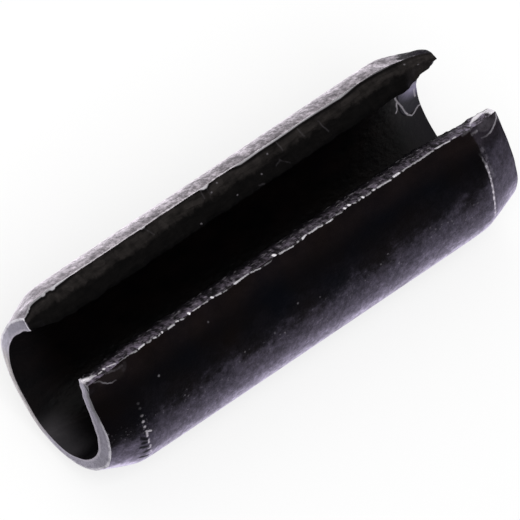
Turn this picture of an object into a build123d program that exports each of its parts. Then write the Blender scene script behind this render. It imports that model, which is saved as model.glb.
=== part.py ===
from build123d import *
import os
from math import hypot, sqrt

# Slotted spring pin, rolled from one strip of spring steel into an open C, a little larger
# across than the hole it is driven into. All sizes are those of the free, unfitted pin, in mm.
# Frame: +X along the pin, +Z through the middle of the slot, origin on the axis at mid-length.

FREE_DIAMETER = 8.6         # across the rolled barrel before it is driven in
WALL = 1.3                  # thickness of the strip
LENGTH = 22.0               # over both ends
LEAD_LENGTH = 1.65          # length of the tapered lead at each end
LEAD_DEPTH = 0.7            # how far the lead has tapered in from the barrel at the end face
SHOULDER_RADIUS = 1.5       # blend between the lead and the barrel
BORE_EDGE_BREAK = 0.12      # bevel round the bore at each end
SLOT_MOUTH = 4.6            # between the two lips at the outer surface
SLOT_THROAT = 2.7           # between the two lips at the bore
LIP_ROLLOVER = 0.15         # rounding of each lip's outer edge, drawn over by the shears

BARREL_RADIUS = FREE_DIAMETER / 2
BORE_RADIUS = BARREL_RADIUS - WALL
LEAD_END_RADIUS = BARREL_RADIUS - LEAD_DEPTH
HALF_LENGTH = LENGTH / 2
NODE = "spring_pin"


def tapered_tube():
    """The wall turned about X: barrel, tapered leads, soft shoulders and broken bore edges."""
    with BuildPart() as tube:
        with BuildSketch(Plane.XZ) as wall:
            with BuildLine():
                Polyline(
                    (-HALF_LENGTH + LEAD_LENGTH, BARREL_RADIUS),
                    (-HALF_LENGTH, LEAD_END_RADIUS),
                    (-HALF_LENGTH, BORE_RADIUS + BORE_EDGE_BREAK),
                    (-HALF_LENGTH + BORE_EDGE_BREAK, BORE_RADIUS),
                    (HALF_LENGTH - BORE_EDGE_BREAK, BORE_RADIUS),
                    (HALF_LENGTH, BORE_RADIUS + BORE_EDGE_BREAK),
                    (HALF_LENGTH, LEAD_END_RADIUS),
                    (HALF_LENGTH - LEAD_LENGTH, BARREL_RADIUS),
                    close=True,
                )
            make_face()
            shoulders = wall.vertices().sort_by(Axis.Y)[-2:]
            fillet(shoulders, SHOULDER_RADIUS)
        revolve(axis=Axis.X)
    return tube.part


def slot_gap():
    """The flared gap between the lips, from just inside the bore to well above the barrel."""
    mouth_height = sqrt(BARREL_RADIUS**2 - (SLOT_MOUTH / 2) ** 2)
    throat_height = sqrt(BORE_RADIUS**2 - (SLOT_THROAT / 2) ** 2)
    flare = (SLOT_MOUTH - SLOT_THROAT) / 2 / (mouth_height - throat_height)
    bottom = throat_height - WALL / 8
    top = FREE_DIAMETER
    bottom_half_width = SLOT_THROAT / 2 + flare * (bottom - throat_height)
    top_half_width = SLOT_THROAT / 2 + flare * (top - throat_height)
    with BuildPart() as gap:
        with BuildSketch(Plane.YZ):
            with BuildLine():
                Polyline(
                    (bottom_half_width, bottom),
                    (top_half_width, top),
                    (-top_half_width, top),
                    (-bottom_half_width, bottom),
                    close=True,
                )
            make_face()
        extrude(amount=LENGTH, both=True)
    return gap.part


def outer_lip_edges(pin):
    """The edges where the slot meets the barrel, its shoulders and its leads."""
    mid_wall_radius = (BORE_RADIUS + LEAD_END_RADIUS) / 2

    def is_outer_lip(edge):
        middle = edge @ 0.5
        runs_along = abs((edge % 0.5).X) > 0.5
        return runs_along and hypot(middle.Y, middle.Z) > mid_wall_radius

    return pin.edges().filter_by(is_outer_lip)


def spring_pin():
    """The open tube with its slot cut and the outer edge of each lip rounded over."""
    pin = tapered_tube() - slot_gap()
    pin = fillet(outer_lip_edges(pin), LIP_ROLLOVER)
    pin.label = NODE
    return pin


os.makedirs("parts", exist_ok=True)
export_step(spring_pin(), f"parts/{NODE}.step")
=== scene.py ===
import math
from functools import reduce

import bmesh
import bpy
from mathutils import Matrix, Vector


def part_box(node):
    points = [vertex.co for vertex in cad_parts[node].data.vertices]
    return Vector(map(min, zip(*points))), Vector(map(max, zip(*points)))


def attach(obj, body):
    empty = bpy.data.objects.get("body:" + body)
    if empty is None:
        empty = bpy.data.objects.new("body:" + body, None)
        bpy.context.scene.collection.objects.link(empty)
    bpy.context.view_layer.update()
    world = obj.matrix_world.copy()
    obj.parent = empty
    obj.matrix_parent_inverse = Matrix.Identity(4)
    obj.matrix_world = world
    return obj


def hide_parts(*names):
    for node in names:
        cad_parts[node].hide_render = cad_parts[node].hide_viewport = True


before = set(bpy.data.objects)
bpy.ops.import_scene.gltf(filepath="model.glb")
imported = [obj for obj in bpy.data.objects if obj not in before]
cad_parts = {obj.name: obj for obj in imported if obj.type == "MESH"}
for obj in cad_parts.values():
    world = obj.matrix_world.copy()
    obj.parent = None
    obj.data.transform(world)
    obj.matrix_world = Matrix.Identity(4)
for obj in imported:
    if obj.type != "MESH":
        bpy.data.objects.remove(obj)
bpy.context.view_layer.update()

# A slotted spring pin: one strip of spring steel, sheared to width, swaged thin at both ends,
# rolled into an open C and blackened. The strip is modelled flat and then rolled, so its sheared
# edges, nicks and wear are placed in the flat, in mm along it, through it and across it.
# Rolled frame: +X along the pin, +Z through the middle of the slot. The front lip is on -Y.

MM = 0.001
NODE = "spring_pin"
pin_low, pin_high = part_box(NODE)

LENGTH = (pin_high.x - pin_low.x) / MM
RADIUS = (pin_high.y - pin_low.y) / 2 / MM
HALF_LENGTH = LENGTH / 2
WALL = 1.3                      # thickness of the strip
LIP_ANGLE = 147.0               # degrees round from the bottom to each lip's outer edge
LIP_INSIDE_ANGLE = 154.4        # the same to its inner edge, which leans into the slot
OUTSIDE_EDGE = math.radians(LIP_ANGLE) * RADIUS
INSIDE_EDGE = math.radians(LIP_INSIDE_ANGLE) * RADIUS
NEAR_LEAD = 1.61                # length of the swaged lead at each end
FAR_LEAD = 1.72
SHOULDER = 0.16                 # softness of each lead's start, as a share of its length

# Section of each swaged end: degrees from the bottom towards the front lip, outer and bore
# radius. The swage left both ends a little uneven.
NEAR_END = (
    (-156, 3.92, 3.34), (-146, 3.78, 3.16), (-130, 3.63, 3.00), (-110, 3.57, 3.02),
    (-92, 3.62, 3.06), (-66, 3.47, 3.07), (-40, 3.37, 2.98), (-14, 3.45, 3.12),
    (13, 3.46, 3.14), (35, 3.51, 3.06), (58, 3.60, 3.02), (75, 3.77, 3.01),
    (92, 3.79, 2.87), (104, 3.71, 2.69), (111, 3.54, 2.60), (118, 3.36, 2.57),
    (128, 3.19, 2.54), (138, 3.25, 2.61), (148, 3.74, 2.92), (156, 3.80, 3.30),
)
FAR_END = (
    (-156, 3.60, 3.30), (-148, 3.60, 3.23), (-137, 3.60, 2.94), (-123, 3.64, 2.76),
    (-104, 3.64, 2.86), (-91, 3.64, 2.98), (-80, 3.64, 3.10), (-61, 3.64, 3.20),
    (0, 3.66, 3.20), (61, 3.70, 3.10), (88, 3.69, 3.10), (105, 3.56, 3.10),
    (120, 3.49, 3.10), (135, 3.54, 3.10), (156, 3.64, 3.10),
)


# ---- working with nodes

class Wire:
    """A socket that is reckoned with like a number: each operation adds its Math node."""

    def __init__(self, nodes, socket):
        self.nodes, self.socket = nodes, socket

    def __add__(self, other):
        return self.nodes.reckon("ADD", self, other)

    def __sub__(self, other):
        return self.nodes.reckon("SUBTRACT", self, other)

    def __rsub__(self, other):
        return self.nodes.reckon("SUBTRACT", other, self)

    def __mul__(self, other):
        return self.nodes.reckon("MULTIPLY", self, other)

    def __truediv__(self, other):
        return self.nodes.reckon("DIVIDE", self, other)

    def __pow__(self, other):
        return self.nodes.reckon("POWER", self, other)

    def __abs__(self):
        return self.nodes.reckon("ABSOLUTE", self)

    def __neg__(self):
        return self * -1

    __radd__ = __add__
    __rmul__ = __mul__

    def least(self, other):
        return self.nodes.reckon("MINIMUM", self, other)

    def most(self, other):
        return self.nodes.reckon("MAXIMUM", self, other)


class Nodes:
    """The nodes of a material or of the world, from none."""

    def __init__(self, owner):
        owner.use_nodes = True
        self.tree = owner.node_tree
        self.tree.nodes.clear()

    def node(self, kind, settings=None, sockets=None, output=0):
        """Add a node, make its settings, then set or wire its sockets. Gives the wire of one of
        its outputs, if it has any."""
        made = self.tree.nodes.new("ShaderNode" + kind)
        for name, value in (settings or {}).items():
            if name == "stops":
                self.set_stops(made.color_ramp.elements, value)
            else:
                setattr(made, name, value)
        for name, value in (sockets or {}).items():
            if isinstance(value, Wire):
                self.tree.links.new(value.socket, made.inputs[name])
            else:
                made.inputs[name].default_value = value
        if made.outputs:
            return Wire(self, made.outputs[output])

    def set_stops(self, stops, wanted):
        while len(stops) < len(wanted):
            stops.new(1.0)
        for stop, (position, level) in zip(stops, wanted):
            stop.position, stop.color = position, (level, level, level, 1)

    def reckon(self, operation, *values, clamp=False):
        return self.node("Math", {"operation": operation, "use_clamp": clamp},
                         dict(enumerate(values)))

    def vector(self, operation, *values, output="Vector"):
        sockets = {"Scale" if operation == "SCALE" and index else index: value
                   for index, value in enumerate(values)}
        return self.node("VectorMath", {"operation": operation}, sockets, output)


class Finish(Nodes):
    """One material. Its patterns are placed on the flat strip, in mm: along, through and across."""

    def __init__(self, name):
        self.material = bpy.data.materials.new(name)
        super().__init__(self.material)
        self.strip = self.node("Attribute", {"attribute_name": "strip"}, output="Vector")
        self.place = self.strip     # where lines and spots are drawn
        self.along, self.depth, self.across = (
            self.node("SeparateXYZ", sockets={"Vector": self.strip}, output=axis)
            for axis in "XYZ")

    def rise(self, value, low, high):
        """0 up to low, 1 from high on, eased in between."""
        return self.node("MapRange", {"interpolation_type": "SMOOTHSTEP"},
                         {"Value": value, "From Min": low, "From Max": high})

    def within(self, off, reach, blur):
        """1 close to a mark, 0 from reach mm off it, eased over a blur."""
        return self.rise(reach - off, 0.0, blur)

    def ramp(self, value, *stops):
        return self.node("ValToRGB", {"stops": stops}, {"Fac": value})

    def along_strip(self, places):
        """A value that changes along the strip, from (along, value) in order."""
        most_stops = 32
        total = places[0][1]
        for first in range(0, len(places) - 1, most_stops - 1):
            run = places[first:first + most_stops]
            start, length = run[0][0], run[-1][0] - run[0][0]
            stops = [((along - start) / length, value) for along, value in run]
            total = total + self.ramp((self.along - start) / length, *stops) - run[0][1]
        return total

    def grain(self, size, seed, detail=2.0, rough=0.5, stretch=(1, 1, 1)):
        """Noise from 0 to 1 whose lumps are about size mm across."""
        place = self.node("Mapping", sockets={"Vector": self.strip, "Scale": stretch})
        noise = self.node("TexNoise", {"noise_dimensions": "4D"}, {
            "Vector": place, "W": seed, "Scale": 1 / size, "Detail": detail,
            "Roughness": rough})
        return self.node("MapRange",
                         sockets={"Value": noise, "From Min": 0.3, "From Max": 0.7})

    def shake(self, amount, size, seed):
        """Shake the place about, so that the marks drawn from here on come out uneven."""
        noise = self.node("TexNoise", {"noise_dimensions": "4D"}, {
            "Vector": self.strip, "W": seed, "Scale": 1 / size}, output="Color")
        shift = self.vector("SCALE", self.vector("SUBTRACT", noise, (0.5, 0.5, 0.5)), amount)
        self.place = self.vector("ADD", self.strip, shift)

    def off_spots(self, centres, radius=0.0):
        """Distance in mm outside the nearest of some round spots."""
        return reduce(Wire.least, (
            self.vector("DISTANCE", self.place, centre, output="Value") - radius
            for centre in centres))

    def spots(self, centres, radius, outer, inner):
        """1 in round spots, 0 from outer mm outside their rims, eased to inner mm inside."""
        return self.rise(-self.off_spots(centres, radius), -outer, inner)

    def off_stroke(self, start, end):
        """Distance in mm from a straight stroke between two places."""
        run = Vector(end) - Vector(start)
        from_start = self.vector("SUBTRACT", self.place, Vector(start))
        reach = self.vector("DOT_PRODUCT", from_start, run / run.length_squared, output="Value")
        foot = self.vector("SCALE", run, self.reckon("ADD", reach, 0, clamp=True))
        return self.vector("DISTANCE", from_start, foot, output="Value")

    def off_line(self, points):
        """Distance in mm from a line drawn from point to point on the strip."""
        return reduce(Wire.least, map(self.off_stroke, points, points[1:]))

    def off_lines(self, lines):
        """Distance in mm from the nearest of several lines."""
        return reduce(Wire.least, map(self.off_line, lines))

    def line(self, points, reach, blur):
        """1 close to a line, 0 from reach mm off it, eased over a blur."""
        return self.within(self.off_line(points), reach, blur)

    def blend(self, share, colour, other):
        factor, first, second, blended = 0, 6, 7, 2
        return self.node("Mix", {"data_type": "RGBA"},
                         {factor: share, first: colour, second: other}, output=blended)

    def coat(self, colour, *coats):
        """The colour under some coats, each of (share, tint)."""
        for share, tint in coats:
            colour = self.blend(share, colour, tint)
        return colour

    def facing(self):
        """0 where the surface is seen square on, rising to 1 where it is seen edge on."""
        return self.node("LayerWeight", sockets={"Blend": 0.5}, output="Facing")

    def steel(self, colour, rough, relief, glint):
        """The body of the finish, with a fine relief. Glint is how much it mirrors square on."""
        normal = self.node("Bump", sockets={
            "Strength": 1.0, "Distance": 0.03 * MM, "Height": relief})
        return self.node("BsdfPrincipled", sockets={
            "Base Color": colour, "Roughness": rough, "IOR": 1.5,
            "Specular IOR Level": glint, "Normal": normal})

    def sheen(self, under, share, tint):
        """A powdery gloss over the oxide, seen mostly edge on."""
        gloss = self.node("BsdfPrincipled", sockets={
            "Base Color": tint, "Roughness": 0.38, "Metallic": 1.0})
        return self.node("MixShader", sockets={0: share, 1: under, 2: gloss})

    def finish(self, surface):
        self.node("OutputMaterial", sockets={"Surface": surface})
        return self.material


# ---- tints and marks

LAVENDER = (0.80, 0.70, 1.0, 1)
PALE_SHEEN = (0.945, 0.865, 0.975, 1)
# The two steel greys below are worn steel and are also painted light: the pale one paints the glow
# inside the bore, the bright one the painted highlights along the lips' corners and the end faces'
# outer borders.
PALE_STEEL_AND_PAINTED_LIGHT = (0.60, 0.56, 0.62, 1)
BRIGHT_STEEL_AND_HIGHLIGHT = (0.86, 0.83, 0.88, 1)

# Rubbed strokes along the front lip's corner, worn bright and also painted as an edge highlight.
# Each starts and ends at a place along the strip and off the corner (minus up on the skin, plus
# down the lip), and has a brightness.
FRONT_STROKES = (
    (-10.92, 0.90, -10.64, 0.62, 0.74), (-10.60, 0.60, -10.36, 0.42, 0.46),
    (-10.29, 0.40, -10.06, 0.42, 0.42), (-9.99, 0.48, -9.86, 0.49, 0.76),
    (-9.79, 0.46, -9.44, 0.15, 0.52), (-9.32, 0.03, -8.80, 0.00, 0.17),
    (-8.73, 0.00, -8.38, -0.05, 0.19), (-8.31, -0.03, -7.93, 0.00, 0.48),
    (-7.85, -0.03, -7.58, -0.03, 0.19), (-7.50, -0.02, -7.33, -0.06, 0.40),
    (-7.24, -0.07, -7.10, -0.02, 0.25), (-7.04, -0.02, -6.96, -0.01, 0.60),
    (-6.72, -0.05, -6.34, -0.03, 0.36), (-6.26, 0.03, -6.10, 0.00, 0.52),
    (-6.03, -0.02, -5.85, -0.06, 0.28), (-5.59, 0.01, -5.46, 0.05, 0.90),
    (-5.36, 0.00, -4.90, 0.04, 0.40), (-4.82, 0.03, -4.53, 0.01, 0.27),
    (-4.33, 0.05, -4.21, 0.06, 0.90), (-4.14, 0.01, -3.84, -0.03, 0.36),
    (-3.77, -0.04, -3.54, -0.06, 0.18), (-3.17, -0.04, -2.34, 0.00, 0.40),
    (-2.27, -0.02, -1.76, -0.08, 0.28), (-1.57, -0.09, -1.17, -0.09, 0.11),
    (-1.00, 0.07, -0.84, 0.08, 1.00), (-0.74, -0.01, 0.02, -0.08, 0.32),
    (0.20, -0.04, 0.32, -0.02, 0.30), (0.48, -0.03, 0.78, 0.02, 0.54),
    (0.85, 0.01, 1.62, -0.04, 0.38), (1.76, -0.05, 2.14, -0.07, 0.40),
    (2.32, -0.02, 2.66, -0.03, 0.18), (2.80, 0.04, 2.92, 0.04, 0.85),
    (3.04, 0.05, 3.18, 0.06, 0.92), (3.25, -0.01, 3.42, -0.03, 0.26),
    (3.54, -0.04, 3.67, -0.01, 0.24), (3.74, 0.00, 3.86, 0.00, 0.70),
    (3.93, -0.03, 4.22, -0.02, 0.19), (4.30, 0.01, 4.46, -0.01, 0.54),
    (4.53, -0.01, 5.30, -0.06, 0.34), (5.42, 0.00, 5.80, 0.00, 0.60),
    (5.90, -0.01, 7.60, -0.02, 0.27), (7.68, 0.01, 8.45, 0.02, 0.44),
    (8.58, 0.06, 8.80, 0.12, 0.42),
)
# The back lip's rim, rubbed bright and also painted as an edge highlight, which never breaks off:
# (along, off the corner, brightness).
BACK_RIM = (
    (-11.00, 0.01, 0.30), (-10.72, 0.02, 0.26), (-10.64, 0.04, 0.34), (-10.54, 0.02, 0.26),
    (-10.44, 0.04, 0.34), (-10.36, 0.02, 0.24), (-9.90, 0.03, 0.24), (-9.66, 0.03, 0.28),
    (-9.60, 0.05, 0.38), (-9.48, 0.05, 0.38), (-9.42, 0.02, 0.26), (-9.20, 0.02, 0.36),
    (-9.12, 0.05, 0.42), (-9.00, 0.05, 0.46), (-8.92, 0.02, 0.50), (-8.50, 0.00, 0.55),
    (-8.12, -0.03, 0.42), (-7.54, -0.10, 0.34), (-7.02, -0.04, 0.46), (-6.94, -0.08, 0.32),
    (-5.52, -0.05, 0.36), (-4.90, -0.07, 0.26), (-4.44, -0.04, 0.36), (-4.36, 0.00, 0.48),
    (-4.18, 0.00, 0.48), (-4.06, -0.04, 0.34), (-3.40, -0.11, 0.28), (-2.40, -0.05, 0.36),
    (-1.70, -0.06, 0.26), (-1.26, -0.02, 0.46), (-1.04, 0.03, 0.52), (-0.88, 0.03, 0.46),
    (-0.70, -0.02, 0.28), (-0.30, -0.09, 0.26), (0.36, -0.04, 0.40), (0.95, 0.02, 0.30),
    (2.00, 0.01, 0.40), (3.60, 0.01, 0.30), (4.20, 0.00, 0.36), (5.25, 0.01, 0.26),
    (6.33, 0.03, 0.30), (7.47, -0.02, 0.18), (8.50, 0.01, 0.12), (9.20, 0.00, 0.02),
    (11.00, 0.00, 0.00),
)

# Marks on the skin, at or through places given as (along, across).
NEAR_RING_DOTS = ((-9.46, 7.7), (-9.47, 8.0), (-9.45, 8.34), (-9.44, 8.72), (-9.43, 8.98))
NEAR_RING_RUBS = (
    ((-9.43, 7.43), (-9.22, 7.32)), ((-9.41, 7.36), (-9.42, 7.07)), ((-9.36, 6.82), (-9.37, 6.6)),
    ((-9.29, 6.34), (-9.27, 6.11), (-9.37, 6.11)), ((-9.22, 5.82), (-9.14, 5.52), (-9.27, 5.51)),
    ((-9.14, 5.14), (-9.04, 4.81)),
)
NEAR_RING_NICKS = (
    ((-9.67, 7.09), (-9.48, 6.9)), ((-9.64, 6.72), (-9.5, 6.69)), ((-9.72, 6.46), (-9.45, 6.35)),
    ((-9.51, 5.92), (-9.38, 5.97)), ((-9.63, 5.5), (-9.3, 5.32)),
)
NEAR_RING_LOOP = ((-9.4, 7.5), (-9.12, 7.35), (-9.02, 7.0), (-9.15, 6.5))
FAR_RING = (
    (9.24, 10.15), (9.3, 9.9), (9.37, 9.3), (9.37, 8.9), (9.36, 8.4), (9.33, 7.6), (9.33, 6.7),
    (9.42, 5.9),
)
FAR_RING_GROOVE = ((9.2, 9.9), (9.27, 9.4), (9.27, 8.9), (9.25, 8.3))
FLAKE_EDGE = (
    (-10.73, 11.02), (-10.54, 10.94), (-10.36, 10.76), (-10.21, 10.6), (-10.01, 10.5),
    (-9.83, 10.5),
)
FLAKE_FOLD = ((-10.1, 11.02), (-9.91, 10.98), (-9.59, 10.87), (-9.32, 10.84))
FLAKE_LUMP = ((-9.34, 10.7), (-9.18, 10.86))
UNDER_FLAKE = ((-10.3, 10.95), (-9.6, 10.75))
CORNER_RIM = (
    (10.98, 10.93), (10.88, 10.75), (10.69, 10.6), (10.52, 10.52), (10.28, 10.43), (10.03, 10.42),
    (9.8, 10.44),
)
CORNER_SMEAR = ((9.05, 10.98), (9.3, 11.0), (9.6, 11.05))
SHORT_SMEAR = ((9.46, 10.8), (9.78, 10.81))
SPECKS = (
    (-10.98, 8.03), (-5.02, 10.3), (-5.68, 7.01), (-2.83, 7.42), (-4.03, 8.13), (-2.43, 8.07),
    (3.7, 8.2), (4.24, 6.94), (3.26, 7.95), (6.21, 7.85), (6.4, 7.72), (7.05, 7.71), (7.29, 7.15),
    (8.25, 7.77), (8.46, 7.74), (0.07, 8.33), (-0.98, 8.71), (-5.39, 7.55), (-4.38, 7.81),
    (-3.53, 6.95), (6.84, 7.78), (5.9, 7.6),
)
PALE_SPOT = (-8.06, 9.53)
PITS = ((3.05, -10.35), (-3.9, -10.5), (6.9, -10.3), (-7.9, -10.6))
# Painted light: round this place at the near back corner the gloss is lifted, to even out the shade
# where the set-back corner tilts the skin.
LIT_NEAR_BACK_CORNER = (-10.55, -10.7)

# Share of the powdery gloss on the skin, from square on to edge on.
SKIN_GLOSS = (
    (0.0, 0.0), (0.17, 0.0005), (0.265, 0.003), (0.307, 0.009), (0.353, 0.024), (0.401, 0.041),
    (0.453, 0.055), (0.507, 0.075), (0.564, 0.099), (0.623, 0.128), (0.684, 0.178), (0.746, 0.27),
    (0.81, 0.4), (0.9, 0.6), (1.0, 0.78),
)

# Marks on the sheared lips, at or through (along, share of the way from the skin down). A raised
# block on the back lip also has half its width, in mm.
BACK_RIDGE = ((-2.1, 0.2), (-1.4, 0.3))
BACK_BLOCKS = (
    ((-0.72, 0.16), (-0.25, 0.16), 0.17), ((2.98, 0.22), (3.75, 0.2), 0.17),
    ((3.95, 0.3), (4.75, 0.3), 0.12), ((-3.46, 0.18), (-3.34, 0.38), 0.12),
    ((-6.95, 0.14), (-6.6, 0.2), 0.14), ((-7.9, 0.12), (-7.72, 0.4), 0.09),
    ((-8.6, 0.2), (-8.38, 0.34), 0.12), ((-9.28, 0.08), (-9.08, 0.28), 0.1),
    ((-5.85, 0.16), (-5.72, 0.42), 0.1), ((6.3, 0.25), (7.1, 0.22), 0.13),
    ((0.7, 0.2), (1.75, 0.24), 0.13), ((8.2, 0.3), (8.9, 0.3), 0.1),
)
BACK_TICKS = (
    ((4.92, 0.25), (5.1, 0.72)), ((2.84, 0.1), (2.9, 0.42)), ((-1.2, 0.02), (-1.22, 0.3)),
    ((-0.92, 0.05), (-0.9, 0.3)), ((2.29, 0.7), (2.55, 0.6)), ((2.55, 0.6), (2.9, 0.86)),
    ((3.95, 0.12), (4.05, 0.42)), ((1.2, 0.92), (1.45, 0.96)), ((-4.24, 0.0), (-4.0, 0.36)),
)
BACK_SPECKS = (
    (-0.39, 0.12), (2.21, 0.24), (-1.91, 0.9), (1.54, 0.66), (0.14, 0.79), (9.62, 0.2),
    (-0.82, 0.26), (10.15, 0.45),
)
FRONT_FLECKS = (
    (-4.87, 0.32), (-4.6, 0.9), (-3.82, 0.72), (-3.63, 0.15), (-2.63, 0.31), (-2.89, 0.38),
    (-0.68, 0.61), (0.79, 0.42), (1.28, 0.35), (1.9, 0.46), (4.0, 0.38), (4.31, 0.44),
    (4.99, 0.28), (6.83, 0.35), (7.6, 0.31), (8.91, 0.6), (9.17, 0.26),
)
FRONT_STREAK = (
    (9.71, 0.2), (9.93, 0.5), (10.22, 0.72), (10.47, 0.78), (10.7, 0.76), (10.87, 0.62),
    (10.94, 0.34), (10.95, 0.0),
)
NEAR_PATCH = ((-10.95, 0.62), (-10.68, 0.48))

# Marks in the bore, through (along, across).
# The painted glow in the near mouth of the bore lies along this line.
BORE_MOUTH = ((-10.95, -0.6), (-10.95, 1.3))
# A pressed facet by the far back corner, painted pale lavender as if it caught the light.
LIT_FACET = ((10.52, -6.9), (10.52, -5.05))
PATCH_CORNER = (10.9, -6.2)
CREASES = (
    ((9.8, -6.36), (9.92, -5.77), (10.04, -5.39), (10.15, -4.8), (10.25, -4.52),
     (10.41, -4.3), (10.55, -4.35), (10.72, -4.48), (10.87, -4.59), (10.97, -4.57)),
    ((9.86, -5.9), (9.79, -5.33), (9.7, -5.19)),
    ((10.86, -5.9), (10.85, -5.3)),
)

# How pale each end face is, from the back lip round the bottom (half way) to the front lip.
END_WEAR = (
    (0.06, 0.2), (0.16, 0.22), (0.22, 0.38), (0.3, 0.46), (0.44, 0.4), (0.5, 0.32),
    (0.6, 0.25), (0.7, 0.17), (0.78, 0.15), (0.86, 0.2), (0.93, 0.36),
)


def on_skin(*places):
    """Places on the flat strip's skin, from (along, across)."""
    return [(along, 0.0, across) for along, across in places]


def in_bore(*places):
    """Places on the flat strip's underside, from (along, across)."""
    return [(along, WALL, across) for along, across in places]


def on_lip(side, *places):
    """Places on a sheared edge, from (along, share of the way from the skin down)."""
    return [(along, WALL * share, side * (OUTSIDE_EDGE + (INSIDE_EDGE - OUTSIDE_EDGE) * share))
            for along, share in places]


# ---- the skin

def rubbed_and_highlit_corner(finish):
    """How bright the front lip's corner is rubbed and painted as an edge highlight, and how far off
    the corner.
    """
    unrubbed, fade_before, fade_after = 0.02, 0.02, 0.03
    bright, off = [(-HALF_LENGTH, unrubbed)], []
    for start, start_off, end, end_off, level in FRONT_STROKES:
        bright += [(start - fade_before, unrubbed), (start + fade_after, level),
                   (end - fade_after, level), (end + fade_before, unrubbed)]
        off += [(start, 0.5 + start_off), (end, 0.5 + end_off)]
    return finish.along_strip(bright), finish.along_strip(off) - 0.5


def rubbed_and_highlit_rim(finish):
    """How bright the back lip's corner is rubbed and painted as an edge highlight, and how far off
    the corner.
    """
    bright = finish.along_strip([(along, level) for along, off, level in BACK_RIM])
    return bright, finish.along_strip([(along, 0.5 + off) for along, off, level in BACK_RIM]) - 0.5


def rubbed_and_highlit_skin_edges(skin):
    """The bright rubs along both edges of the skin, worn steel that is also a painted edge
    highlight, and how far past each edge a place is.
    """
    front_bright, front_off = rubbed_and_highlit_corner(skin)
    back_bright, back_off = rubbed_and_highlit_rim(skin)
    jagged = (skin.grain(0.16, seed=7.0) - 0.5) * 0.04
    past_front = skin.across - OUTSIDE_EDGE - front_off + jagged
    past_back = -skin.across - OUTSIDE_EDGE - back_off + jagged
    width = front_bright * front_bright * 0.050 + 0.008
    front_rub_and_highlight = front_bright * (skin.fine * 0.7 + 0.75) * (
        1 - skin.rise(abs(past_front), width, width + 0.03))
    back_rub_and_highlight = back_bright * (skin.fine * 0.5 + 0.8) * (1 - skin.rise(abs(past_back), 0.02, 0.07))
    return front_rub_and_highlight.most(back_rub_and_highlight), past_front, past_back


def near_ring(skin):
    """A broken ring of dots and short rubs where the near lead begins."""
    dots = skin.spots(on_skin(*NEAR_RING_DOTS), 0.06, 0.04, 0.04) * (
        skin.rise(8.6 - skin.across, 0.0, 0.8) * 0.8 + 0.06)
    rubs = skin.off_lines([on_skin(*rub) for rub in NEAR_RING_RUBS])
    return dots.most(skin.within(rubs, 0.075, 0.06) * 0.9) * (skin.fine * 0.5 + 0.5)


def far_ring(skin):
    """A beaded ring where the far lead begins."""
    ring = skin.off_line(on_skin(*FAR_RING))
    beads = skin.rise(skin.reckon("SINE", skin.across * 17 + skin.mottle * 4), -0.2, 0.9)
    return skin.rise(0.05 + skin.mottle * 0.06 - ring, 0.0, 0.06) * (beads * 0.7 + 0.45) * (
        skin.rise(10.0 - skin.across, 0.0, 1.5))


def worn_beside_rings(skin, rings):
    """The rings, with a faint loop beside the near one and a worn band beyond the far one."""
    band = skin.rise(0.16 - abs(skin.along - 9.52), 0.0, 0.12) * skin.rise(
        skin.mottle, 0.40, 0.75) * skin.rise(1.2 - abs(skin.across - 9.2), 0.0, 0.6)
    loop = skin.line(on_skin(*NEAR_RING_LOOP), 0.05, 0.04)
    return rings.most(loop * 0.03) * 0.75 + band * 0.07


def lifted_flake(skin):
    """A flake of oxide that lifts beside the near corner: its edge, its fold and a lump."""
    edge = skin.line(on_skin(*FLAKE_EDGE), 0.05, 0.04)
    lump = skin.line(on_skin(*FLAKE_LUMP), 0.16, 0.14)
    fold = skin.line(on_skin(*FLAKE_FOLD), 0.08, 0.07)
    return (edge * (skin.rise(skin.along, -10.5, -10.3) * 0.08 + 0.06) * (
        1 - skin.rise(skin.along, -10.1, -9.8) * 0.7)).most(
        lump * skin.mottle * 0.018).most(fold * skin.mottle * 0.08)


def flattened_corner(skin):
    """The far corner, rubbed to a flat: a bright rim round a paler face, and smears before it."""
    rim = skin.line(on_skin(*CORNER_RIM), 0.055, 0.04)
    slant = skin.rise(10.2 - skin.along, 0, 0.6) * 0.25
    flat = skin.rise(skin.across - 10.55 - slant, 0.0, 0.1) * skin.rise(skin.along, 9.75, 10.0)
    smears = (skin.line(on_skin(*CORNER_SMEAR), 0.10, 0.08) * skin.mottle * 0.12).most(
        skin.line(on_skin(*SHORT_SMEAR), 0.09, 0.08) * skin.mottle * 0.24)
    return (rim * (skin.mottle * 0.8 + 0.5) * (
        skin.rise(skin.along, 9.9, 10.6) * 0.26 + 0.05)).most(
        flat * (skin.mottle * 0.045 + 0.004)), smears


def chipped_specks(skin):
    """Specks where the oxide has chipped, some alone and some in a band low on the front."""
    specks = skin.spots(on_skin(*SPECKS), 0.04, 0.03, 0.04)
    pale_spot = skin.within(skin.off_spots(on_skin(PALE_SPOT)), 0.08, 0.08)
    flecks = skin.rise(skin.grain(0.12, seed=9.0), 0.70, 1.0) * skin.rise(
        skin.mottle, 0.40, 0.75) * skin.rise(1.3 - abs(skin.across - 7.2), 0.0, 0.8)
    return specks * (skin.mottle * 0.12 + 0.03) + flecks * 0.13 + pale_spot * 0.16


def skin_tints(skin, far_lead):
    """The oxide itself: warm and cold blotches, a greyer far lead, a rosier front edge."""
    rosy_edge = skin.rise(skin.across, 9.6, 10.7) * (skin.scuffs + 0.3) * 0.0042
    under_flake = skin.line(on_skin(*UNDER_FLAKE), 0.40, 0.25)
    return skin.coat(
        (0.0019, 0.0012, 0.0011, 1),
        (skin.grain(2.6, seed=3.0), (0.0007, 0.0009, 0.0018, 1)),
        (far_lead * (skin.mottle * 0.018 + 0.002), LAVENDER),
        (rosy_edge, (0.85, 0.55, 0.50, 1)), (under_flake * 0.004, (0.9, 0.72, 0.68, 1)))


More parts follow.
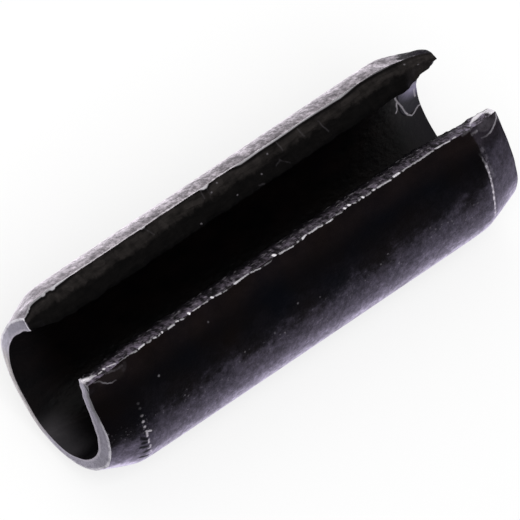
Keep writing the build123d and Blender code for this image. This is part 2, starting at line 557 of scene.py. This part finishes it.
def back_gloss(skin, facing, back):
    """The back of the skin is given more gloss, a painted reflection of a strong light behind it:
    paler along its middle, duller at its near end.
    """
    return back * (0.17 - skin.rise(facing, 0.64, 0.80) * 0.25
                   + skin.rise(facing, 0.84, 0.95) * 0.12
                   + skin.rise(-abs(skin.along + 4.2), -2.8, -1.0) * 0.11
                   - skin.rise(skin.along, -0.8, 1.2) * 0.05
                   - skin.rise(-skin.along, 9.2, 9.7) * 0.12) + 1


def rim_shadow(skin, past_back):
    """A patchy dark line just inside the back lip's bright rim."""
    patchy = skin.grain(0.55, seed=8.0, detail=4.0, rough=0.7, stretch=(0.7, 1, 1))
    return skin.rise(-past_back, 0.05, 0.10) * (
        1 - skin.rise(-past_back, 0.14, 0.34)) * skin.rise(patchy, 0.40, 0.62) * (
        1 - skin.rise(skin.along, 3.0, 6.0) * 0.7) * skin.rise(skin.along, -9.8, -8.6)


def dull_horn(skin):
    """The back lip's far corner has lost its gloss, but for a few flecks."""
    slant = skin.rise(skin.across, -10.5, -10.1) * 0.3
    horn = skin.rise(skin.along - skin.drawn * 0.35 - slant, 9.30, 9.60) * (
        1 - skin.rise(skin.across, -8.4, -7.2))
    return horn * (1 - skin.rise(skin.mottle, 0.74, 0.90) * 0.5)


def grainy(skin, back):
    """The two grains of the gloss: fine on the front, frosted and drawn across on the back."""
    frost = skin.grain(0.13, seed=27.0, detail=3.0, rough=0.8, stretch=(1, 1, 0.3))
    frosted = skin.rise(skin.drawn, 0.30, 0.70)
    mealy = back * (skin.rise(skin.along, -9.0, -3.0) * 0.5 + 0.5)
    return ((skin.fine - 0.5) * (1 - back) * 0.56 + (frost - 0.5) * mealy * 0.85 + 1.03,
            (frosted - 0.5) * (mealy * 0.42 + 0.46) + 1.04)


def leads_gloss(skin, far_lead, back):
    """The leads' own shares of the gloss, and the shadowed skin before the far one."""
    near_lead = skin.rise(-skin.along, 9.5, 9.8) * skin.rise(8.2 - skin.across, 0.0, 1.2)
    near_corner = skin.rise(-skin.along, 10.2, 10.6) * skin.rise(skin.across, 9.0, 9.8)
    before_far_lead = (1 - far_lead) * skin.rise(skin.along, 8.7, 9.0) * skin.rise(
        skin.across, 8.3, 9.4)
    return (near_lead * 0.30 + 1, 1 - near_corner * 0.9,
            1 - far_lead * (1 - back) * skin.rise(skin.across, 5.5, 8.0) * 0.24,
            1 - before_far_lead * 0.85)


def skin_gloss(skin, far_lead, past_back, over_edge):
    """How much of the skin is powdery gloss: a share by how edge on it is, times each part's."""
    facing, back = skin.facing(), skin.back
    edge_on = facing + (skin.scuffs - 0.5) * 0.17 + (skin.mottle - 0.5) * 0.08
    groove = skin.line(on_skin(*FAR_RING_GROOVE), 0.05, 0.04)
    nicks = skin.off_lines([on_skin(*nick) for nick in NEAR_RING_NICKS])
    painted_corner_light = skin.off_spots(on_skin(LIT_NEAR_BACK_CORNER))
    pits = skin.spots(on_skin(*PITS), 0.06, 0.04, 0.02)
    share = skin.ramp(edge_on, *SKIN_GLOSS)
    # The lift round the near back corner is painted light, evening out the shade where the set-back
    # corner tilts the skin.
    for part in (
        *grainy(skin, back), back_gloss(skin, facing, back),
        skin.rise(-painted_corner_light, -0.9, -0.1) * 0.7 + 1, 1 - rim_shadow(skin, past_back) * 0.34,
        1 - dull_horn(skin) * 0.99, 1 - pits * 0.5, 1 - over_edge * 0.9, 1 - groove * 0.6,
        1 - skin.within(nicks, 0.14, 0.10) * 0.9, *leads_gloss(skin, far_lead, back),
    ):
        share = share * part
    return share


def speckled_skin():
    """The rolled skin: near black, greying to lavender towards its edges, finely speckled."""
    skin = Finish("blackened skin")
    skin.shake(0.10, 0.20, seed=2.0)
    skin.fine = skin.grain(0.11, seed=5.0, detail=3.0, rough=0.7)
    skin.scuffs = skin.grain(0.9, seed=6.0, detail=5.0, rough=0.72, stretch=(0.7, 1, 1))
    skin.mottle = skin.grain(0.34, seed=21.0, detail=4.0, rough=0.75)
    skin.drawn = skin.grain(0.24, seed=22.0, detail=4.0, rough=0.85, stretch=(1, 1, 0.6))
    skin.back = 1 - skin.rise(skin.across, -4.0, 0.0)

    # rub holds the bright lines along both edges of the skin: worn steel, and also a painted edge
    # highlight.
    rub, past_front, past_back = rubbed_and_highlit_skin_edges(skin)
    over_edge = skin.rise(past_front, 0.02, 0.05).most(skin.rise(past_back, 0.05, 0.09))
    rings = near_ring(skin).most(far_ring(skin))
    flake = lifted_flake(skin)
    corner, smears = flattened_corner(skin)
    far_lead = skin.rise(skin.along - skin.rise(skin.across, 9.7, 10.3) * 0.09, 9.30, 9.42)
    colour = skin.coat(
        skin_tints(skin, far_lead), (chipped_specks(skin), PALE_STEEL_AND_PAINTED_LIGHT),
        (flake.most(corner).most(smears), PALE_STEEL_AND_PAINTED_LIGHT),
        (worn_beside_rings(skin, rings), PALE_STEEL_AND_PAINTED_LIGHT),
        (over_edge, (0.012, 0.010, 0.011, 1)), (rub, BRIGHT_STEEL_AND_HIGHLIGHT))
    relief = skin.fine * 0.6 + rub * 0.4 + rings + flake * 2
    under = skin.steel(colour, 0.40, relief, glint=0.015)
    tint = skin.blend(skin.back, LAVENDER, PALE_SHEEN)
    share = skin_gloss(skin, far_lead, past_back, over_edge)
    return skin.finish(skin.sheen(under, share, tint))


# ---- the sheared lips

def raised_blocks(lip):
    """Blocks that the shears left standing along the back lip, the first of them a long ridge."""
    ridge = lip.off_line(on_lip(-1, *BACK_RIDGE))
    blocks = lip.rise(-ridge, -0.15, -0.11)
    for start, end, width in BACK_BLOCKS:
        off = lip.off_line(on_lip(-1, start, end))
        blocks = blocks.most(lip.rise(-off, -width - 0.03, -width + 0.03))
    return blocks


def back_lip(lip, blocks):
    """The back lip's face: brownish grey, streaked where burnished, its rim rubbed bright and
    painted as an edge highlight, with painted shade in a thin line just under the rim.
    """
    bright, off_rim = rubbed_and_highlit_rim(lip)
    below_rim = lip.depth - off_rim * 2
    tone = (lip.burnished * (0.10 + lip.streaks * 0.28) + 0.03 + lip.streaks * 0.06) * (
        lip.mottle * 0.7 + 0.65) * (1 - lip.torn * 0.6) + blocks * 0.13
    # Painted shade: the face is darkened in a thin line just under the rim.
    tone = tone * (lip.rise(below_rim, 0.10, 0.22) * 0.75 + 0.25)
    tone = tone + lip.rise(lip.along, 9.2, 10.0) * (lip.mottle * 0.35 + 0.05)
    ticks = lip.off_lines([on_lip(-1, *tick) for tick in BACK_TICKS])
    specks = lip.spots(on_lip(-1, *BACK_SPECKS), 0.04, 0.03, 0.04)
    return lip.coat(
        (0.0006, 0.0006, 0.0007, 1), (tone, (0.034, 0.0295, 0.0280, 1)),
        (lip.within(ticks, 0.06, 0.06) * lip.mottle * 0.045, PALE_STEEL_AND_PAINTED_LIGHT),
        (specks * 0.16, PALE_STEEL_AND_PAINTED_LIGHT),
        (bright * (1 - lip.rise(below_rim, 0.0, 0.06)), BRIGHT_STEEL_AND_HIGHLIGHT))


def front_lip_tone(lip):
    """The front lip's pale patches, fading down the face, strongest towards both ends."""
    holed = lip.grain(0.5, seed=31.0, detail=4.0, rough=0.7, stretch=(1, 0.5, 0.5))
    face = (1 - lip.rise(lip.ragged - lip.rise(lip.along, 8.6, 9.8) * 0.4, 0.20, 0.90)) * (
        lip.rise(lip.mottle, 0.28, 0.80) * 1.35 + 0.06) * (lip.rise(holed, 0.35, 0.6) * 0.55 + 0.45)
    return face * (lip.rise(lip.along, 6.0, 8.8) * 0.5 + lip.rise(-lip.along, 7.4, 8.8) * 1.1 + 1)


def front_lip_chips(lip, colour):
    """Flecks and glints of steel on the front lip, and the greyer face under its far streak."""
    flecks = lip.spots(on_lip(1, *FRONT_FLECKS), 0.07, 0.04, 0.05) * 0.16
    glints = lip.rise(lip.grain(0.20, seed=16.0, stretch=(0.7, 1, 1)), 0.70, 0.95)
    under_streak = lip.rise(lip.along, 9.75, 9.95) * (1 - lip.rise(lip.share_down, 0.35, 0.55))
    grey = lip.blend(lip.rise(lip.mottle, 0.35, 0.8), (0.010, 0.008, 0.010, 1),
                     (0.085, 0.072, 0.085, 1))
    return lip.coat(colour, (flecks + glints * 0.18 * (1 - lip.torn), PALE_STEEL_AND_PAINTED_LIGHT),
                    (under_streak, grey))


def front_lip_streak(lip):
    """Where the far end of the front lip is scraped bright, in a streak that widens."""
    streak = lip.off_line(on_lip(1, *FRONT_STREAK))
    width = lip.rise(lip.along, 9.75, 10.4) * 0.21 + 0.07
    below = lip.rise(lip.along, 10.25, 10.45) * lip.rise(lip.share_down, 0.55, 0.8)
    return (lip.rise(width - streak, 0.0, 0.13) * (lip.fine * 0.5 + 0.55)).most(
        below * (lip.mottle * 0.6 + 0.15))


def front_lip_rub_and_highlight(lip):
    """The strokes along the corner, seen from the lip's side: worn steel and a painted edge
    highlight.
    """
    bright, off_corner = rubbed_and_highlit_corner(lip)
    width = bright * bright * 0.12 + 0.008
    return bright * (lip.fine * 0.7 + 0.75) * (
        1 - lip.rise(abs(lip.depth - off_corner), width, width + 0.07))


def front_lip(lip, face):
    """The front lip's face: black with pale violet patches, chipped, and rubbed bright along its
    corner, where the bright line is also a painted edge highlight.
    """
    colour = lip.blend(face, (0.0012, 0.0009, 0.0016, 1), (0.052, 0.043, 0.054, 1))
    colour = front_lip_chips(lip, colour)
    near_patch = lip.line(on_lip(1, *NEAR_PATCH), 0.34, 0.22)
    bright = front_lip_streak(lip).most(near_patch * (lip.mottle * 0.4 + 0.45))
    return lip.blend(bright.most(front_lip_rub_and_highlight(lip)), colour, BRIGHT_STEEL_AND_HIGHLIGHT)


def sheared_lip():
    """The sheared edges of the strip: burnished near the skin, torn and darker further in."""
    lip = Finish("sheared lip")
    lip.shake(0.12, 0.25, seed=12.0)
    lip.streaks = lip.grain(0.22, seed=11.0, detail=3.0, rough=0.65, stretch=(0.35, 1, 1))
    lip.fine = lip.grain(0.12, seed=5.0, detail=3.0, rough=0.7)
    lip.mottle = lip.grain(0.22, seed=23.0, detail=4.0, rough=0.7, stretch=(1, 0.45, 0.45))
    lip.share_down = lip.depth / WALL
    wander = lip.grain(0.45, seed=14.0, detail=4.0, rough=0.7, stretch=(0.8, 0.6, 0.6))
    lip.ragged = lip.share_down + (wander - 0.5) * 0.24
    lip.burnished = 1 - lip.rise(lip.ragged, 0.36, 0.52)
    lip.torn = lip.rise(lip.ragged, 0.84, 0.98)

    front = lip.rise(lip.across, 0, 1)
    blocks = raised_blocks(lip)
    face = front_lip_tone(lip)
    colour = lip.blend(front, back_lip(lip, blocks), front_lip(lip, face))
    end_wear = lip.rise(-lip.along, HALF_LENGTH - 0.12, HALF_LENGTH - 0.04)
    colour = lip.blend(end_wear * front * lip.rise(lip.share_down, 0.15, 0.45) * 0.6, colour,
                       PALE_STEEL_AND_PAINTED_LIGHT)
    relief = lip.streaks * (1 - front) * 0.6 + lip.mottle * front * 0.7 + blocks * 0.6 + (
        lip.burnished * 0.6)
    under = lip.steel(colour, 0.5, relief, glint=0.02)
    share = lip.facing() ** 3 * (front * (face * 1.7 - 1) + 1) * 0.12
    return lip.finish(lip.sheen(under, share, LAVENDER))


# ---- the bore and the ends

def facet_catching_light(bore, fine):
    """The pressed facet by the far back corner, painted pale lavender as if it caught the light,
    and how that painted light is toned.
    """
    patch = bore.line(in_bore(*LIT_FACET), 0.62, 0.08) * bore.rise(bore.along, 9.75, 9.95)
    corner = bore.within(bore.off_spots(in_bore(PATCH_CORNER)), 1.1, 1.1)
    return patch, bore.blend(corner * (fine * 0.4 + 0.8), (0.016, 0.015, 0.021, 1),
                             (0.26, 0.235, 0.35, 1))


def black_bore():
    """The inside of the pin, black, with painted light: a glow in the near mouth, paler towards
    both ends, and a pale facet at the far back corner painted as if it caught the light.
    """
    bore = Finish("black bore")
    painted_glow = bore.line(in_bore(*BORE_MOUTH), 1.7, 1.7) ** 1.7
    bore.shake(0.10, 0.25, seed=22.0)
    fine = bore.grain(0.3, seed=15.0, detail=3.0)
    clouds = bore.grain(1.1, seed=13.0, detail=3.0)
    patch, painted_facet_light = facet_catching_light(bore, fine)
    crease = bore.off_lines([in_bore(*crease) for crease in CREASES])
    colour = bore.coat(
        (0.0003, 0.0003, 0.0005, 1), (clouds, (0.0021, 0.0013, 0.0013, 1)),
        # Painted light: a glow in the near mouth, and the bore paler towards both ends, where it
        # would mirror more light.
        (painted_glow * (clouds * 0.020 + 0.040), PALE_STEEL_AND_PAINTED_LIGHT),
        (bore.rise(bore.along, 9.0, 10.9) * 0.007, LAVENDER),
        (bore.rise(-bore.along, 8.6, 10.4) * 0.0045, PALE_STEEL_AND_PAINTED_LIGHT), (patch, painted_facet_light),
        (bore.within(crease, 0.06, 0.045) * (fine * 0.25 + 0.32), PALE_STEEL_AND_PAINTED_LIGHT))
    under = bore.steel(colour, 0.36, fine * 0.4 + patch, glint=0.10)
    return bore.finish(bore.sheen(under, bore.facing() ** 3 * 0.03, LAVENDER))


def end_steel(end, fine, patches, leftward):
    """The worn steel of the end faces, by how far round and how deep it lies."""
    round_face = (end.across / RADIUS + math.pi) / (2 * math.pi)
    level = end.ramp(round_face, *END_WEAR)
    level = level * (fine * 0.30 + patches * 0.60 + 0.55)
    level = level * (leftward * (0.16 - end.rise(end.depth, 0.45, 1.15) * 0.60) + 1)
    worn = end.blend(leftward, (0.98, 0.93, 1.10, 1), (1.03, 0.97, 0.96, 1))
    return end.blend(level, (0, 0, 0, 1), worn)


def end_borders(end, colour, fine, patches, leftward, near_lip):
    """Paler borders round the end faces, along the bore and along the skin; the one along the skin
    is a painted highlight on the bevel, strongest on the left.
    """
    left = end.rise(-end.across, 2.0, 5.0)
    inner = end.rise(end.depth + fine * 0.08, WALL - 0.26, WALL - 0.10)
    # The outer border is a painted highlight on the bevel along the skin, strongest on the left.
    outer = end.rise(0.24 - end.depth + fine * 0.12, 0.0, 0.16) * (1 - near_lip)
    return end.coat(colour, (inner * (1 - leftward) * 0.30, PALE_STEEL_AND_PAINTED_LIGHT),
                    (outer * (patches * 0.6 + left * 0.3 + 0.05), BRIGHT_STEEL_AND_HIGHLIGHT)), left


def end_lip_border(end, colour, left):
    """The bright border where the end faces meet the sheared lips, and the dark line outside it."""
    sheared = OUTSIDE_EDGE + end.depth * ((INSIDE_EDGE - OUTSIDE_EDGE) / WALL)
    bowed = end.reckon("SINE", end.depth * (math.pi / WALL)) * 0.17
    inset = sheared - abs(end.across) - bowed * left
    border = end.within(inset, 0.13, 0.06) * (left * 0.55 + end.depth * 0.25)
    return end.coat(colour, (border, BRIGHT_STEEL_AND_HIGHLIGHT),
                    (end.within(inset, 0.01, 0.03) * left, (0.012, 0.010, 0.009, 1)))


def cut_end():
    """The cropped end faces, worn through to lavender-grey steel, palest along their borders, where
    the border along the skin is a painted highlight.
    """
    end = Finish("cut end")
    fine = end.grain(0.16, seed=17.0, detail=3.0, rough=0.65)
    patches = end.grain(0.6, seed=18.0, detail=3.0, rough=0.65)
    leftward = end.rise(-end.across, 0.0, 2.0) * (1 - end.rise(-end.across, 5.6, 7.2))
    near_lip = end.rise(end.across, 7.6, 9.4)
    colour = end_steel(end, fine, patches, leftward)
    greening = near_lip * end.rise(end.depth + fine * 0.2, WALL * 0.75, WALL * 0.25)
    colour = end.blend(greening * 0.92, colour, (0.058, 0.059, 0.052, 1))
    colour, left = end_borders(end, colour, fine, patches, leftward, near_lip)
    colour = end_lip_border(end, colour, left)
    under = end.steel(colour, 0.45, fine, glint=0.05)
    return end.finish(end.sheen(under, end.facing() ** 3 * 0.20, LAVENDER))


# ---- working on the mesh

def choose(piece):
    bpy.ops.object.select_all(action="DESELECT")
    piece.select_set(True)
    bpy.context.view_layer.objects.active = piece


def edit(piece):
    """Open one piece's mesh, with nothing in it selected."""
    choose(piece)
    bpy.ops.object.mode_set(mode="EDIT")
    bpy.ops.mesh.select_all(action="DESELECT")


def done():
    bpy.ops.object.mode_set(mode="OBJECT")


def pick(piece, kind, wanted):
    """Select the corners (VERT) or edges (EDGE) that are wanted, and nothing else."""
    bpy.ops.mesh.select_mode(type=kind)
    bpy.ops.mesh.select_all(action="DESELECT")
    shape = bmesh.from_edit_mesh(piece.data)
    for part in shape.verts if kind == "VERT" else shape.edges:
        part.select = wanted(part)
    shape.select_flush_mode()
    bmesh.update_edit_mesh(piece.data)


def cut_along(piece, wanted, *rounds):
    """Divide the edges that are wanted, by their middle and run in mm, as loop cuts would."""
    def is_wanted(edge):
        start, end = (corner.co / MM for corner in edge.verts)
        return wanted((start + end) / 2, end - start)

    for cuts in rounds:
        pick(piece, "EDGE", is_wanted)
        bpy.ops.mesh.subdivide(number_cuts=cuts)


def slice_at(piece, place, facing):
    """Cut edges into the mesh where a plane crosses it."""
    bpy.ops.mesh.select_all(action="SELECT")
    bpy.ops.mesh.bisect(plane_co=Vector(place) * MM, plane_no=facing)


def drag(piece, *pulls):
    """Drag the corner at each place on the strip, with all within reach of it, by a shift."""
    edit(piece)
    for place, reach, shift in pulls:
        shape = bmesh.from_edit_mesh(piece.data)
        strip = shape.verts.layers.float_vector["strip"]
        nearest = min(shape.verts, key=lambda corner: (corner[strip] - Vector(place)).length)
        bpy.ops.mesh.select_all(action="DESELECT")
        nearest.select = True
        shape.select_flush_mode()
        bmesh.update_edit_mesh(piece.data)
        bpy.ops.transform.translate(
            value=Vector(shift) * MM, use_proportional_edit=True,
            proportional_edit_falloff="SMOOTH", proportional_size=reach * MM,
        )
    done()


def roughen(piece, name, direction, lumps, height, weight):
    """Push the surface to and fro in one direction, in soft lumps, by a weight at each corner."""
    group = piece.vertex_groups.new(name=name)
    for corner in piece.data.vertices:
        share = weight(*(corner.co / MM))
        if share > 0:
            group.add([corner.index], share, "REPLACE")
    clouds = bpy.data.textures.new(name, "CLOUDS")
    clouds.noise_scale = lumps * MM
    rough = piece.modifiers.new(name, "DISPLACE")
    rough.texture, rough.texture_coords, rough.vertex_group = clouds, "LOCAL", name
    rough.direction, rough.strength, rough.mid_level = direction, height * MM, 0.5
    bpy.ops.object.modifier_apply(modifier=name)


def ease(share):
    """0 to 0 and 1 to 1, with a soft start and stop."""
    share = min(max(share, 0.0), 1.0)
    return share * share * (3 - 2 * share)


def between(rows, angle, column):
    """A section's radius at an angle, eased from one listed row to the next."""
    for before, after in zip(rows, rows[1:]):
        if angle <= after[0]:
            share = ease((angle - before[0]) / (after[0] - before[0]))
            return before[column] + (after[column] - before[column]) * share
    return rows[-1][column]


# ---- the strip, flat

def sheared_blank():
    """The strip as cut: X along it, Y from its skin down through it, Z across it."""
    bpy.ops.mesh.primitive_cube_add(
        size=1, location=(0, WALL / 2 * MM, 0),
        scale=(LENGTH * MM, WALL * MM, 2 * OUTSIDE_EDGE * MM),
    )
    blank = bpy.context.object
    blank.name = "rolled_pin"
    bpy.ops.object.transform_apply(location=True, rotation=False, scale=True)
    edit(blank)
    for side in (1, -1):
        pick(blank, "VERT", lambda corner: (
            corner.co.y > WALL / 2 * MM and corner.co.z * side > 0))
        bpy.ops.transform.translate(value=(0, 0, side * (INSIDE_EDGE - OUTSIDE_EDGE) * MM))
    near_shoulder, far_shoulder = -HALF_LENGTH + NEAR_LEAD, HALF_LENGTH - FAR_LEAD
    slice_at(blank, (near_shoulder, 0, 0), (1, 0, 0))
    slice_at(blank, (far_shoulder, 0, 0), (1, 0, 0))
    lip_band = OUTSIDE_EDGE - 0.95      # finer cuts from here out to the sheared edges
    for side in (1, -1):
        slice_at(blank, (0, 0, side * lip_band), (0, 0, 1))

    barrel_cuts, lead_cuts, lip_cuts, round_cuts, wall_cuts = (3, 54), 21, 11, 77, 13

    def on_barrel(middle):
        return near_shoulder < middle.x < far_shoulder

    cut_along(blank, lambda middle, run: abs(run.x) > 0.01 and on_barrel(middle), *barrel_cuts)
    cut_along(blank, lambda middle, run: abs(run.x) > 0.01 and not on_barrel(middle), lead_cuts)
    cut_along(blank, lambda middle, run: abs(run.z) > 0.5 and abs(middle.z) > lip_band, lip_cuts)
    cut_along(blank, lambda middle, run: abs(run.z) > 0.5 and abs(middle.z) < lip_band, round_cuts)
    cut_along(blank, lambda middle, run: abs(run.y) > 0.5, wall_cuts)
    done()
    return blank


def keep_strip_places(blank):
    """Write each corner's place on the flat strip, in mm, where the finishes read it."""
    places = blank.data.attributes.new("strip", "FLOAT_VECTOR", "POINT")
    flat = [value / MM for corner in blank.data.vertices for value in corner.co]
    places.data.foreach_set("vector", flat)


def trim_lip_ends(blank):
    """The shear ran off at both ends of the back edge, and left the front's far end proud."""
    drag(blank,
         ((HALF_LENGTH, WALL, -INSIDE_EDGE), 0.55, (0, 0, 0.44)),
         ((10.1, WALL, -INSIDE_EDGE), 0.95, (0, 0, 0.34)),
         ((-9.9, 0, -OUTSIDE_EDGE), 2.2, (0, 0, 0.24)),
         ((10.35, WALL, INSIDE_EDGE), 0.4, (0, 0, 0.08)))


def swage_ends(blank):
    """Thin both ends into leads, each to its own section."""
    for corner in blank.data.vertices:
        x, depth, across = corner.co / MM
        rows, lead = (NEAR_END, NEAR_LEAD) if x < 0 else (FAR_END, FAR_LEAD)
        beyond = (abs(x) - HALF_LENGTH + lead) / lead
        angle = math.degrees(across / RADIUS)
        outer = RADIUS - between(rows, angle, 1)
        inner = RADIUS - between(rows, angle, 2)
        share = depth / WALL
        skin_drop = outer * (beyond + math.hypot(beyond, SHOULDER)) / 2
        bore_drop = WALL + (inner - WALL) * ease(beyond)
        corner.co.y = (skin_drop + (bore_drop - skin_drop) * share) * MM


def roll(blank):
    """Roll the flat strip round the pin's axis, skin outwards, lips up."""
    across = [corner.co.z for corner in blank.data.vertices]
    bend = blank.modifiers.new("roll", "SIMPLE_DEFORM")
    bend.deform_method = "BEND"
    bend.deform_axis = "X"
    bend.angle = (max(across) - min(across)) / (RADIUS * MM)
    choose(blank)
    bpy.ops.object.modifier_apply(modifier="roll")
    blank.rotation_euler.x = math.radians(90)
    blank.location.z = -RADIUS * MM
    bpy.ops.object.transform_apply(location=True, rotation=True, scale=False)


def rag_the_edges(blank):
    """Shearing left the corners wavy: burred along the skin, torn along the inside."""
    def close_to(depth, across, reach):
        return lambda x, y, z: ease(1 - math.hypot(y - depth, z - across) / reach)

    for name, direction, lumps, height, depth, across, reach in (
        ("front burr", "Z", 0.7, 0.09, 0, OUTSIDE_EDGE, 0.40),
        ("front burr height", "Y", 0.28, 0.10, 0, OUTSIDE_EDGE, 0.22),
        ("back burr", "Z", 0.8, 0.07, 0, -OUTSIDE_EDGE, 0.30),
        ("front tear", "Z", 0.45, 0.30, WALL, INSIDE_EDGE, 0.50),
        ("back tear", "Z", 0.45, 0.34, WALL, -INSIDE_EDGE, 0.50),
    ):
        roughen(blank, name, direction, lumps, height, close_to(depth, across, reach))
    roughen(blank, "torn faces", "Z", lumps=0.22, height=0.07,
            weight=lambda x, y, z: ease(y / 0.5 - 0.6) * ease((abs(z) - OUTSIDE_EDGE) / 0.05 + 1))


def spring_the_lips(pin):
    """The front lip has sprung a little further open at both its ends, the back lip at one."""
    drag(pin,
         ((-HALF_LENGTH, 0.6, OUTSIDE_EDGE), 3.4, (0, -0.22, 0)),
         ((HALF_LENGTH, 0.6, OUTSIDE_EDGE), 4.2, (0, -0.34, 0)),
         ((-HALF_LENGTH, 0.6, -OUTSIDE_EDGE), 2.4, (0, 0.12, 0)))


def knock_the_corners(pin):
    """The front lip's far corner is drawn up and the back lip's near corner set back. The back
    lip is dented before its far corner, which is bent up."""
    drag(pin,
         ((HALF_LENGTH - 0.1, 0, OUTSIDE_EDGE), 0.9, (0.08, 0.10, 0.10)),
         ((9.9, 0, OUTSIDE_EDGE), 1.1, (0, 0.10, -0.08)),
         ((-HALF_LENGTH, 0, -OUTSIDE_EDGE), 0.8, (0.14, -0.07, -0.02)),
         ((-10.2, 0, -OUTSIDE_EDGE), 0.7, (0, 0.05, 0.02)),
         ((9.3, 0, -10.5), 1.2, (0, -0.06, -0.21)),
         ((10.7, 0, -10.5), 0.7, (0, 0, 0.17)))


def slant_near_end(pin):
    """The near end was cut a little out of square, so that it is set back at the lips."""
    slant, reach = 0.033, 2.2
    for corner in pin.data.vertices:
        share = ease((-corner.co.x / MM - HALF_LENGTH + reach) / reach)
        corner.co.x += slant * share * corner.co.z


def finish_faces(blank):
    """Give the strip's skin, underside, sheared edges and cut ends their finishes."""
    for material in (speckled_skin(), black_bore(), sheared_lip(), cut_end()):
        blank.data.materials.append(material)
    skin, bore, lip, end = range(4)
    square_on = 0.9
    for face in blank.data.polygons:
        if abs(face.normal.y) > square_on:
            face.material_index = skin if face.normal.y < 0 else bore
        else:
            face.material_index = end if abs(face.normal.x) > square_on else lip


pin = sheared_blank()
keep_strip_places(pin)
finish_faces(pin)
rag_the_edges(pin)
trim_lip_ends(pin)
swage_ends(pin)
roll(pin)
spring_the_lips(pin)
knock_the_corners(pin)
slant_near_end(pin)
edit(pin)
bpy.ops.mesh.select_all(action="SELECT")
bpy.ops.mesh.normals_make_consistent(inside=False)
done()
bpy.ops.object.shade_smooth_by_angle(angle=math.radians(38))
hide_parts(NODE)
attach(pin, "root")


# ---- floor, lamps, camera

def seen_straight(nodes):
    """1 for what the camera sees, directly or mirrored; 0 for the light that falls on things."""
    camera, glossy, clear = (
        nodes.node("LightPath", output=f"Is {kind} Ray")
        for kind in ("Camera", "Glossy", "Transmission"))
    return camera.most(glossy).most(clear)


def pale_world():
    """A white room whose light falls softer than it looks."""
    cast_light, seen_white = 0.55, 1.0
    world = bpy.data.worlds.new("pale room")
    bpy.context.scene.world = world
    room = Nodes(world)
    strength = room.node("MapRange", sockets={
        "Value": seen_straight(room), "To Min": cast_light, "To Max": seen_white})
    white = room.node("Background", sockets={
        "Color": (1, 1, 1, 1), "Strength": strength})
    room.node("OutputWorld", sockets={"Surface": white})


def pale_matt():
    """The floor's finish: it shows nearly white, and the pin's shadow still darkens it."""
    shown_white = 0.72
    material = bpy.data.materials.new("pale floor")
    ground = Nodes(material)
    matt = ground.node("BsdfDiffuse", sockets={"Color": (0.9, 0.9, 0.9, 1)})
    glow = ground.node("Emission", sockets={"Strength": 1.0})
    mixed = ground.node("MixShader", sockets={
        0: seen_straight(ground) * shown_white, 1: matt, 2: glow})
    ground.node("OutputMaterial", sockets={"Surface": mixed})
    return material


def floor():
    """A wide plane that the pin rests on."""
    bpy.ops.mesh.primitive_plane_add(size=2.4, location=(0, 0, pin_low.z))
    ground = bpy.context.object
    ground.name = "floor"
    bpy.ops.object.transform_apply(location=True, rotation=False, scale=False)
    ground.data.materials.append(pale_matt())


def soft_lamp(name, place, size, power, colour=(1, 1, 1), mirrored=True):
    """A square lamp turned towards the pin."""
    light = bpy.data.lights.new(name, "AREA")
    light.size, light.energy, light.color = size, power, colour
    lamp = bpy.data.objects.new(name, light)
    lamp.location = place
    lamp.rotation_euler = (-Vector(place)).to_track_quat("-Z", "Y").to_euler()
    lamp.visible_glossy = mirrored
    bpy.context.scene.collection.objects.link(lamp)


def camera():
    """A long lens from above the near end, a little over the front lip."""
    turn, height, tip = (math.radians(value) for value in (-37.19, 54.33, 2.24))
    lens, frame_width, picture = 1400, 21.824, 520
    aim_right, aim_down = 0.87, 0.38
    back = Vector((math.sin(turn) * math.cos(height), -math.cos(turn) * math.cos(height),
                   math.sin(height)))
    level = Vector((math.cos(turn), math.sin(turn), 0))
    upright = back.cross(level)
    right = level * math.cos(tip) - upright * math.sin(tip)
    up = level * math.sin(tip) + upright * math.cos(tip)
    aim = (right * aim_right - up * aim_down) * frame_width / picture
    lens_data = bpy.data.cameras.new("camera")
    lens_data.lens = lens
    lens_data.clip_start, lens_data.clip_end = 0.1, 3
    distance = frame_width / lens_data.sensor_width * lens
    viewer = bpy.data.objects.new("camera", lens_data)
    bpy.context.scene.collection.objects.link(viewer)
    place = Matrix.Translation((aim + back * distance) * MM)
    viewer.matrix_world = place @ Matrix((right, up, back)).transposed().to_4x4()
    bpy.context.scene.camera = viewer


pale_world()
floor()
soft_lamp("front softbox", (-0.12, -0.30, 0.40), 0.35, 2.2, mirrored=False)
soft_lamp("rim lamp", (0.10, 0.45, 0.10), 0.25, 0.8, (1.0, 0.97, 0.92))
camera()
bpy.context.scene.view_settings.view_transform = "Standard"
